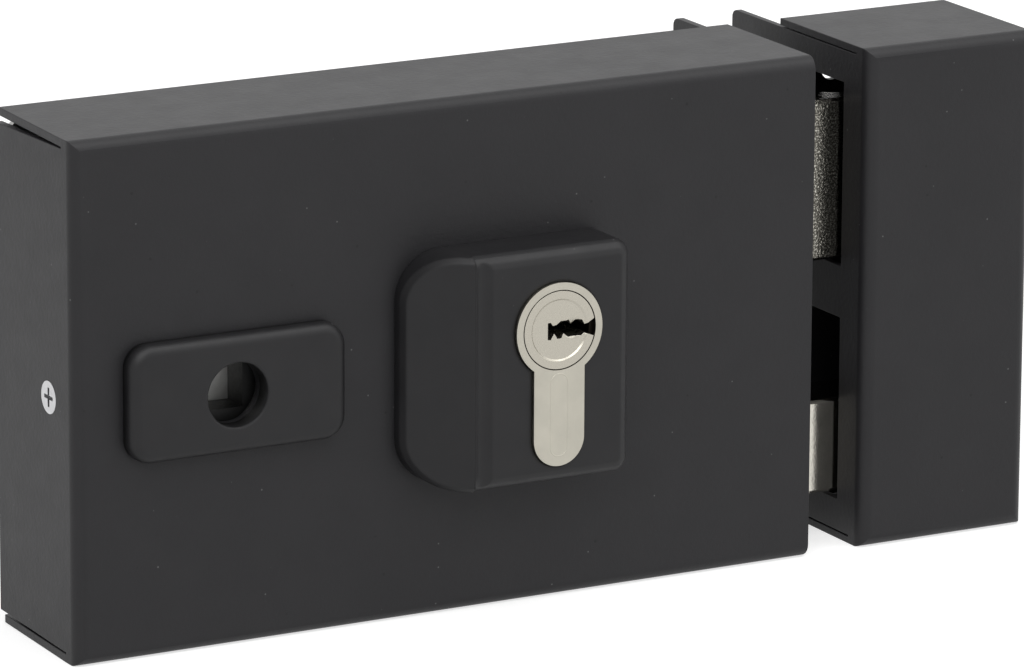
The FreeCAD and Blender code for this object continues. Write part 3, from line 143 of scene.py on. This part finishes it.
# Colours of the cylinder and the bolts
NICKEL = (0.445, 0.424, 0.365)
NICKEL_DARKER = (0.4, 0.382, 0.33)
# Painted shade for the wall of the plug's bore and the gap round the plug
BORE_PAINTED_SHADE = (0.03, 0.025, 0.02)
PLUG_NICKEL = (0.415, 0.393, 0.338)
BAR = (0.62, 0.59, 0.53)
BAR_DARKER = (0.54, 0.52, 0.465)
CASTING = (0.1, 0.095, 0.082)
CASTING_GRAIN = (0.58, 0.56, 0.5)

# Colours of the other metals
ZINC = (0.50, 0.50, 0.49)
ZINC_DARKER = (0.42, 0.42, 0.41)
SCREW_STEEL = (0.55, 0.55, 0.56)
RIVET_STEEL = (0.5, 0.5, 0.5)
SPRING_STEEL = (0.32, 0.32, 0.34)
CAM_STEEL = (0.4, 0.39, 0.37)
PIN_BRASS = (0.7, 0.53, 0.26)
# The follower hub: black steel, darkened further as painted shade for the deep spindle hole it sits in
FOLLOWER_BLACK_AND_SHADE = (0.05, 0.05, 0.05)
SPINDLE_ZINC = (0.62, 0.62, 0.6)


def rotation_from(yaw, pitch, roll):
    """The camera's axes for a heading from +y towards +x, a tilt downwards and a roll, in degrees."""
    yaw, pitch, roll = (math.radians(angle) for angle in (yaw, pitch, roll))
    ahead = Vector((math.sin(yaw) * math.cos(pitch), math.cos(yaw) * math.cos(pitch), -math.sin(pitch)))
    level = Vector((math.cos(yaw), -math.sin(yaw), 0))
    above = level.cross(ahead)
    right = math.cos(roll) * level + math.sin(roll) * above
    up = -math.sin(roll) * level + math.cos(roll) * above
    return Matrix((right, up, -ahead)).transposed()


def camera():
    """Makes the camera at the photograph's viewing angle."""
    data = bpy.data.cameras.new("camera")
    data.sensor_width = SENSOR_WIDTH
    data.lens = CAMERA_FOCAL / IMAGE_WIDTH * SENSOR_WIDTH
    data.shift_x = (IMAGE_WIDTH / 2 - CAMERA_CENTRE_X) / IMAGE_WIDTH
    data.clip_start = CAMERA_NEAR
    data.clip_end = CAMERA_FAR
    item = bpy.data.objects.new("camera", data)
    turned = rotation_from(CAMERA_YAW, CAMERA_PITCH, CAMERA_ROLL).to_4x4()
    item.matrix_world = Matrix.Translation(CAMERA_PLACE) @ turned
    bpy.context.scene.collection.objects.link(item)
    bpy.context.scene.camera = item


# Node helpers

def add_node(tree, kind, **settings):
    """Adds a node and sets its properties."""
    item = tree.nodes.new(kind)
    for name, value in settings.items():
        setattr(item, name, value)
    return item


def seen_rays(tree):
    """1 for camera, glossy and transmission rays, 0 for the rays that light the object."""
    path = add_node(tree, "ShaderNodeLightPath")
    either = add_node(tree, "ShaderNodeMath", operation="MAXIMUM")
    tree.links.new(path.outputs["Is Camera Ray"], either.inputs[0])
    tree.links.new(path.outputs["Is Glossy Ray"], either.inputs[1])
    whole = add_node(tree, "ShaderNodeMath", operation="MAXIMUM")
    tree.links.new(either.outputs[0], whole.inputs[0])
    tree.links.new(path.outputs["Is Transmission Ray"], whole.inputs[1])
    return whole.outputs[0]


class Look:
    """A procedural material: a Principled shader, fed by noise in the object's own metres."""

    def __init__(self, name, colour, metallic=0.0, roughness=0.5, specular=0.5):
        self.material = bpy.data.materials.new(name)
        self.material.use_nodes = True
        self.tree = self.material.node_tree
        self.shader = self.tree.nodes["Principled BSDF"]
        self.set("Base Color", (*colour, 1))
        self.set("Metallic", metallic)
        self.set("Roughness", roughness)
        self.set("Specular IOR Level", specular)
        self.place = add_node(self.tree, "ShaderNodeTexCoord").outputs["Object"]
        self.normal = None

    def set(self, socket, value):
        """Sets one of the shader's own values."""
        self.shader.inputs[socket].default_value = value

    def stretched(self, factors):
        """The object's coordinates, scaled along each axis."""
        item = add_node(self.tree, "ShaderNodeMapping")
        item.inputs["Scale"].default_value = factors
        self.tree.links.new(self.place, item.inputs["Vector"])
        return item.outputs["Vector"]

    def noise(self, size, detail=3.0, rough=0.55, place=None):
        """Noise whose features are about that size, in metres."""
        item = add_node(self.tree, "ShaderNodeTexNoise")
        item.inputs["Scale"].default_value = 1 / size
        item.inputs["Detail"].default_value = detail
        item.inputs["Roughness"].default_value = rough
        self.tree.links.new(place or self.place, item.inputs["Vector"])
        return item.outputs["Fac"]

    def patches(self, size, detail=3.0, place=None):
        """Soft patches of about that size, from 0 to 1."""
        return self.ramp(self.noise(size, detail, place=place), 0, 1)

    def dots(self, spacing, inner, outer):
        """1 on scattered dots, fading to 0 between two radii, which are shares of their spacing."""
        item = add_node(self.tree, "ShaderNodeTexVoronoi")
        item.inputs["Scale"].default_value = 1 / spacing
        self.tree.links.new(self.place, item.inputs["Vector"])
        return self.ramp(item.outputs["Distance"], 1, 0, inner, outer)

    def vector_step(self, operation, value, factors=None):
        """One step of vector arithmetic."""
        item = add_node(self.tree, "ShaderNodeVectorMath", operation=operation)
        self.tree.links.new(value, item.inputs[0])
        if factors is not None:
            item.inputs[1].default_value = factors
        return item.outputs

    def near_axis(self, x, z, radius, fade):
        """1 within a radius of an axis along y, fading to 0 outside it."""
        offset = self.vector_step("SUBTRACT", self.place, (x, 0, z))["Vector"]
        across = self.vector_step("MULTIPLY", offset, (1, 0, 1))["Vector"]
        distance = self.vector_step("LENGTH", across)["Value"]
        return self.ramp(distance, 1, 0, radius, radius + fade)

    def ramp(self, value, low, high, from_low=NOISE_LOW, from_high=NOISE_HIGH):
        """Maps a value from one range to another, clamped."""
        item = add_node(self.tree, "ShaderNodeMapRange")
        item.inputs["From Min"].default_value = from_low
        item.inputs["From Max"].default_value = from_high
        item.inputs["To Min"].default_value = low
        item.inputs["To Max"].default_value = high
        self.tree.links.new(value, item.inputs["Value"])
        return item.outputs["Result"]

    def tint(self, value, other, amount=1.0):
        """Blends the colour so far towards another one."""
        item = add_node(self.tree, "ShaderNodeMix", data_type="RGBA")
        scaled = self.ramp(value, 0.0, amount, 0.0, 1.0)
        self.tree.links.new(scaled, item.inputs["Factor"])
        before = self.shader.inputs["Base Color"]
        if before.is_linked:
            self.tree.links.new(before.links[0].from_socket, item.inputs["A"])
        else:
            item.inputs["A"].default_value = before.default_value
        item.inputs["B"].default_value = (*other, 1)
        self.tree.links.new(item.outputs["Result"], self.shader.inputs["Base Color"])

    def roughen(self, value, low, high):
        """Varies the roughness between two values."""
        self.tree.links.new(self.ramp(value, low, high), self.shader.inputs["Roughness"])

    def blend_edges(self, radius):
        """Blends the shading across edges within that radius, in metres."""
        item = add_node(self.tree, "ShaderNodeBevel", samples=BLEND_SAMPLES)
        item.inputs["Radius"].default_value = radius
        self.normal = item.outputs["Normal"]

    def bump(self, value, depth, strength=1.0):
        """Adds relief of about that depth, in metres, on top of what is there."""
        item = add_node(self.tree, "ShaderNodeBump")
        item.inputs["Strength"].default_value = strength
        item.inputs["Distance"].default_value = depth
        self.tree.links.new(value, item.inputs["Height"])
        if self.normal:
            self.tree.links.new(self.normal, item.inputs["Normal"])
        self.normal = item.outputs["Normal"]
        self.tree.links.new(self.normal, self.shader.inputs["Normal"])


def dress(material, *names):
    """Gives carried-over nodes their material."""
    for name in names:
        item = NODES[name]
        if item.material_slots:
            for place in item.material_slots:
                place.material = material
        else:
            item.data.materials.append(material)


# Softened edges

def shade_smooth(mesh):
    """Smooth shading on every face."""
    for polygon in mesh.polygons:
        polygon.use_smooth = True


def shade_by_area(item):
    """Lets the large faces lead the shading, so that they look even up to their edges."""
    shading = item.modifiers.new("shading", "WEIGHTED_NORMAL")
    shading.weight = LARGE_FACE_LEAD


def join_flats(item):
    """Makes one surface of the faces that meet, and one face of each flat stretch."""
    weld = item.modifiers.new("weld", "WELD")
    weld.merge_threshold = WELD
    flats = item.modifiers.new("flats", "DECIMATE")
    flats.decimate_type = "DISSOLVE"
    flats.angle_limit = FLAT


def round_edges(item, width):
    """Rounds the item's sharp edges."""
    bevel = item.modifiers.new("edges", "BEVEL")
    bevel.width = width
    bevel.segments = EDGE_SEGMENTS
    bevel.limit_method = "ANGLE"
    bevel.angle_limit = SHARP


def soften(width, *names):
    """Rounds the sharp edges of pieces with flat faces, which stay evenly shaded."""
    for name in names:
        item = NODES[name]
        shade_smooth(item.data)
        join_flats(item)
        round_edges(item, width)
        shade_by_area(item)


def soften_all():
    """Softens the edges of the sheet and metal pieces that show."""
    soften(SHEET_EDGE, "cover", "forend_plate", "strike_box", "strike_back")
    soften(METAL_EDGE, "cylinder_body", "plug_inner", "plug_outer", "deadbolt_head", "latch_head")


# Materials

def powder_coat(name):
    """Anthracite powder coat: fine orange peel, small pits and a few light specks."""
    look = Look(name, COAT, roughness=0.5, specular=0.285)
    look.tint(look.patches(12 * MM), COAT_PALER)
    look.tint(look.dots(7 * MM, inner=0.02, outer=0.05), COAT_PIT, amount=0.8)
    look.tint(look.dots(4.5 * MM, inner=0.015, outer=0.045), COAT_SPECK, amount=0.6)
    look.roughen(look.noise(5 * MM), low=0.47, high=0.51)
    look.bump(look.noise(0.9 * MM, detail=2.0), depth=0.05 * MM, strength=0.8)
    look.bump(look.noise(0.25 * MM, detail=1.0), depth=0.02 * MM, strength=0.9)
    return look.material


def moulding(name):
    """Black moulded polymer with a fine matt skin."""
    look = Look(name, POLYMER, roughness=0.46, specular=0.285)
    look.tint(look.patches(9 * MM), POLYMER_PALER)
    look.tint(look.dots(5 * MM, inner=0.012, outer=0.04), POLYMER_SPECK, amount=0.6)
    look.roughen(look.noise(3 * MM), low=0.42, high=0.5)
    look.blend_edges(MOULDED_BLEND)
    look.bump(look.noise(0.18 * MM, detail=2.0), depth=0.01 * MM, strength=0.6)
    return look.material


def painted_bore_shade(look):
    """1 on the wall of the bore that the plug turns in, where shade is painted, 0 on the rest of the
    cylinder.
    """
    body_low, body_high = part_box("cylinder_body")
    low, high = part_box("plug_inner")
    radius = (high.z - low.z) / 2 + BORE_SHADE
    return look.near_axis((body_low.x + body_high.x) / 2, (low.z + high.z) / 2, radius, BORE_FADE)


def satin_nickel(name):
    """Satin nickel with a fine matt grain, and painted shade on the wall of the plug's bore."""
    look = Look(name, NICKEL, metallic=1.0, roughness=0.36)
    look.tint(look.patches(6 * MM), NICKEL_DARKER)
    look.roughen(look.noise(0.4 * MM, detail=4.0), low=0.32, high=0.42)
    look.bump(look.noise(0.12 * MM), depth=0.006 * MM, strength=0.7)
    # Painted shade: the bore's wall and the gap round the plug are darkened
    look.tint(painted_bore_shade(look), BORE_PAINTED_SHADE)
    return look.material


def plug_nickel(name):
    """The plug's face: nickel with a fine grain, glossier than the cylinder's."""
    look = Look(name, PLUG_NICKEL, metallic=1.0, roughness=0.28)
    look.roughen(look.noise(0.5 * MM, detail=4.0), low=0.24, high=0.34)
    look.bump(look.noise(0.15 * MM), depth=0.004 * MM, strength=0.6)
    return look.material


def polished_bar(name):
    """The deadbolt: nickel-plated bar with a faint ripple in its gloss."""
    look = Look(name, BAR, metallic=1.0, roughness=0.12)
    look.tint(look.patches(2.5 * MM, detail=4.0), BAR_DARKER)
    look.roughen(look.noise(0.5 * MM, detail=4.0), low=0.08, high=0.16)
    look.bump(look.noise(0.34 * MM), depth=0.016 * MM, strength=0.7)
    return look.material


def cast_nickel(name):
    """The latch: a nickel-plated casting with a coarse grain."""
    look = Look(name, CASTING, metallic=1.0, roughness=0.16)
    grain = look.noise(0.36 * MM, detail=2.0, rough=0.6)
    look.tint(look.ramp(grain, 0, 1, from_low=0.48, from_high=0.66), CASTING_GRAIN)
    look.roughen(look.noise(0.6 * MM), low=0.1, high=0.24)
    look.bump(look.noise(0.42 * MM, detail=2.0, rough=0.6), depth=0.045 * MM)
    return look.material


def zinc_sheet(name):
    """Zinc-plated sheet: dull, with faint rolling marks along x."""
    look = Look(name, ZINC, metallic=1.0, roughness=0.42)
    rolled = look.stretched(ROLLING)
    look.tint(look.patches(1.2 * MM, detail=4.0, place=rolled), ZINC_DARKER)
    look.roughen(look.noise(4 * MM), low=0.36, high=0.5)
    look.bump(look.noise(0.6 * MM, place=rolled), depth=0.01 * MM, strength=0.5)
    return look.material


def plain_metal(name, colour, roughness):
    """Other metals: one colour with darker patches, a fine grain and uneven gloss."""
    look = Look(name, colour, metallic=1.0, roughness=roughness)
    darker = tuple(DARKER * share for share in colour)
    look.tint(look.patches(3 * MM, detail=4.0), darker)
    look.roughen(look.noise(2 * METAL_GRAIN), roughness - GLOSSIER, roughness + DULLER)
    look.bump(look.noise(METAL_GRAIN), depth=0.01 * MM, strength=0.5)
    return look.material


def dress_all(skin, nickel):
    """Gives every carried-over node its finish."""
    dress(powder_coat("case_coat"), "cover", "forend_plate", "strike_box", "strike_back")
    dress(skin, "cylinder_guard", "spindle_plate")
    dress(nickel, "cylinder_body")
    dress(plug_nickel("plug_face"), "plug_inner", "plug_outer")
    dress(polished_bar("bolt_bar"), "deadbolt_head")
    dress(cast_nickel("latch_cast"), "latch_head")
    sheet = zinc_sheet("zinc_sheet")
    dress(sheet, "back_plate", "cover_lug", "follower_bridge", "bridge_posts", "bolt_guide")
    dress(sheet, "deadbolt_tail", "latch_tail", "spring_bracket", "brake_shelf")
    dress(plain_metal("screw_steel", SCREW_STEEL, 0.32), "cover_screw", "cylinder_fixing_screw")
    dress(plain_metal("rivet_steel", RIVET_STEEL, 0.35), "deadbolt_rivets", "latch_rivets", "latch_rod")
    dress(plain_metal("spring_steel", SPRING_STEEL, 0.3), "latch_spring", "brake_spring", "tumbler_springs")
    dress(plain_metal("cam_steel", CAM_STEEL, 0.45), "cylinder_cam", "cam_clutch")
    dress(plain_metal("pin_brass", PIN_BRASS, 0.3), "driver_pins", "chamber_stoppers")
    # The follower hub, deep in the spindle's hole: black steel, darkened further as painted shade
    dress(plain_metal("follower_steel", FOLLOWER_BLACK_AND_SHADE, 0.45), "follower_hub")
    dress(plain_metal("spindle_zinc", SPINDLE_ZINC, 0.35), "spindle")


# Pieces of the scene

def make_piece(work, name, material, body):
    """Turns the mesh being built into a piece of the scene that moves with a body."""
    bmesh.ops.recalc_face_normals(work, faces=work.faces)
    mesh = bpy.data.meshes.new(name)
    work.to_mesh(mesh)
    work.free()
    shade_smooth(mesh)
    mesh.materials.append(material)
    item = bpy.data.objects.new(name, mesh)
    bpy.context.scene.collection.objects.link(item)
    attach(item, body)
    return item


def join_rings(work, rings):
    """Faces between each ring of points and the next, and from the last back to the first."""
    for index, ring in enumerate(rings):
        following = rings[(index + 1) % len(rings)]
        for place in range(len(ring)):
            beside = (place + 1) % len(ring)
            work.faces.new((ring[place], ring[beside], following[beside], following[place]))


def oblong_path(half, straight):
    """Points round an oblong with round ends, as (x, z, outward x, outward z)."""
    points = []
    for side in (1, -1):
        for step in range(BEAD_STEPS + 1):
            turn = math.pi * step / BEAD_STEPS
            out_x = side * math.cos(turn)
            out_z = side * math.sin(turn)
            points.append((half * out_x, side * straight + half * out_z, out_x, out_z))
    return points


def stem_bead(material):
    """The raised oblong line on the stem of the cylinder's front face."""
    low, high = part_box("cylinder_body")
    half = OBLONG_WIDTH / 2
    middle_x = (low.x + high.x) / 2
    middle_z = low.z + OBLONG_LOW + OBLONG_RISE / 2
    work = bmesh.new()
    rings = []
    for x, z, out_x, out_z in oblong_path(half, OBLONG_RISE / 2 - half):
        ring = []
        for step in range(BEAD_SIDES + 1):
            turn = math.pi * step / BEAD_SIDES
            across = BEAD_HALF * math.cos(turn)
            proud = BEAD_HEIGHT * math.sin(turn) - BEAD_SINK
            point = (middle_x + x + across * out_x, low.y - proud, middle_z + z + across * out_z)
            ring.append(work.verts.new(point))
        rings.append(ring)
    join_rings(work, rings)
    make_piece(work, "stem_bead", material, "case")


def rounded_outline(half_x, half_z, corner):
    """Points round a rectangle with rounded corners, as (x, z) from its middle."""
    corners = []
    quarters = ((1, 1), (-1, 1), (-1, -1), (1, -1))
    for quarter, (side_x, side_z) in enumerate(quarters):
        arc = []
        for step in range(CORNER_STEPS + 1):
            turn = math.pi / 2 * (quarter + step / CORNER_STEPS)
            x = side_x * (half_x - corner) + corner * math.cos(turn)
            z = side_z * (half_z - corner) + corner * math.sin(turn)
            arc.append(Vector((x, z)))
        corners.append(arc)
    points = []
    for quarter, arc in enumerate(corners):
        points.extend(arc)
        ahead = corners[(quarter + 1) % len(corners)][0]
        for step in range(1, SIDE_STEPS):
            points.append(arc[-1].lerp(ahead, step / SIDE_STEPS))
    return points


def rose(material):
    """The moulded plate round the spindle's hole, with its rounded front edge."""
    low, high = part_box("spindle_plate")
    hole_x = (low.x + high.x) / 2
    hole_z = (low.z + high.z) / 2
    work = bmesh.new()

    def outline_ring(inset, y):
        """The plate's outline, drawn in by the inset."""
        outline = rounded_outline(ROSE_LENGTH / 2 - inset, ROSE_RISE / 2 - inset, ROSE_CORNER - inset)
        return [work.verts.new((hole_x + ROSE_RIGHT + x, y, hole_z + z)) for x, z in outline]

    def hole_ring(radius, y):
        """A circle round the hole's axis, with a point in line with each one of the outline."""
        ring = []
        for x, z in rounded_outline(ROSE_LENGTH / 2, ROSE_RISE / 2, ROSE_CORNER):
            turn = math.atan2(z, x + ROSE_RIGHT)
            point = (hole_x + radius * math.cos(turn), y, hole_z + radius * math.sin(turn))
            ring.append(work.verts.new(point))
        return ring

    rings = [outline_ring(0, high.y)]
    for step in range(EDGE_STEPS + 1):
        turn = math.pi / 2 * step / EDGE_STEPS
        behind_front = ROSE_EDGE * (1 - math.sin(turn))
        rings.append(outline_ring(ROSE_EDGE * (1 - math.cos(turn)), low.y + behind_front))
    for step in range(LIP_STEPS + 1):
        turn = math.pi / 2 * step / LIP_STEPS
        behind_front = ROSE_LIP * (1 - math.cos(turn))
        rings.append(hole_ring(ROSE_HOLE + ROSE_LIP * (1 - math.sin(turn)), low.y + behind_front))
    rings.append(hole_ring(ROSE_HOLE, high.y))
    join_rings(work, rings)
    item = make_piece(work, "rose", material, "case")
    shade_by_area(item)
    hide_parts("spindle_plate")


# Studio

def world():
    """White to the camera and in reflections, and a softer white that lights the object."""
    item = bpy.data.worlds.new("studio")
    bpy.context.scene.world = item
    item.use_nodes = True
    tree = item.node_tree
    background = tree.nodes["Background"]
    background.inputs["Color"].default_value = (1, 1, 1, 1)
    strength = add_node(tree, "ShaderNodeMapRange")
    strength.inputs["To Min"].default_value = AMBIENT
    strength.inputs["To Max"].default_value = 1.0
    tree.links.new(seen_rays(tree), strength.inputs["Value"])
    tree.links.new(strength.outputs["Result"], background.inputs["Strength"])


def floor_paint():
    """Grey paint that catches the shadow, made white to the camera and in reflections by a glow."""
    material = bpy.data.materials.new("floor_paint")
    material.use_nodes = True
    tree = material.node_tree
    tree.nodes.clear()
    paint = add_node(tree, "ShaderNodeBsdfDiffuse")
    paint.inputs["Color"].default_value = (FLOOR_PAINT, FLOOR_PAINT, FLOOR_PAINT, 1)
    glow = add_node(tree, "ShaderNodeEmission")
    scale = add_node(tree, "ShaderNodeMath", operation="MULTIPLY")
    scale.inputs[1].default_value = FLOOR_GLOW
    tree.links.new(seen_rays(tree), scale.inputs[0])
    tree.links.new(scale.outputs[0], glow.inputs["Strength"])
    both = add_node(tree, "ShaderNodeAddShader")
    tree.links.new(paint.outputs[0], both.inputs[0])
    tree.links.new(glow.outputs[0], both.inputs[1])
    out = add_node(tree, "ShaderNodeOutputMaterial")
    tree.links.new(both.outputs[0], out.inputs["Surface"])
    return material


def floor():
    """A plain white floor that keeps the object's shadow."""
    mesh = bpy.data.meshes.new("floor")
    half = FLOOR_SIZE / 2
    corners = [(-half, -half, 0), (half, -half, 0), (half, half, 0), (-half, half, 0)]
    mesh.from_pydata(corners, [], [(0, 1, 2, 3)])
    mesh.materials.append(floor_paint())
    item = bpy.data.objects.new("floor", mesh)
    bpy.context.scene.collection.objects.link(item)


def softbox(name, place, size, power):
    """A large soft lamp that faces the object's middle."""
    data = bpy.data.lights.new(name, "AREA")
    data.shape = "SQUARE"
    data.size = size
    data.energy = power
    item = bpy.data.objects.new(name, data)
    item.location = place
    aim = Vector(LAMP_TARGET) - Vector(place)
    item.rotation_mode = "QUATERNION"
    item.rotation_quaternion = aim.to_track_quat("-Z", "Y")
    bpy.context.scene.collection.objects.link(item)


def lamps():
    """A large lamp above on the left, and weaker ones on the right, overhead and behind."""
    softbox("lamp_key", place=(-0.85, -1.35, 2.0), size=2.2, power=42)
    softbox("lamp_fill", place=(2.0, -1.4, 1.2), size=2.0, power=12)
    softbox("lamp_top", place=(0.7, -0.5, 1.8), size=1.2, power=11)
    softbox("lamp_back", place=(1.4, 2.4, 0.9), size=1.6, power=2)


camera()
world()
floor()
lamps()
guard_skin = moulding("guard_skin")
cylinder_nickel = satin_nickel("cylinder_face")
dress_all(guard_skin, cylinder_nickel)
rose(guard_skin)
stem_bead(cylinder_nickel)
soften_all()

scene = bpy.context.scene
scene.view_settings.view_transform = "Standard"
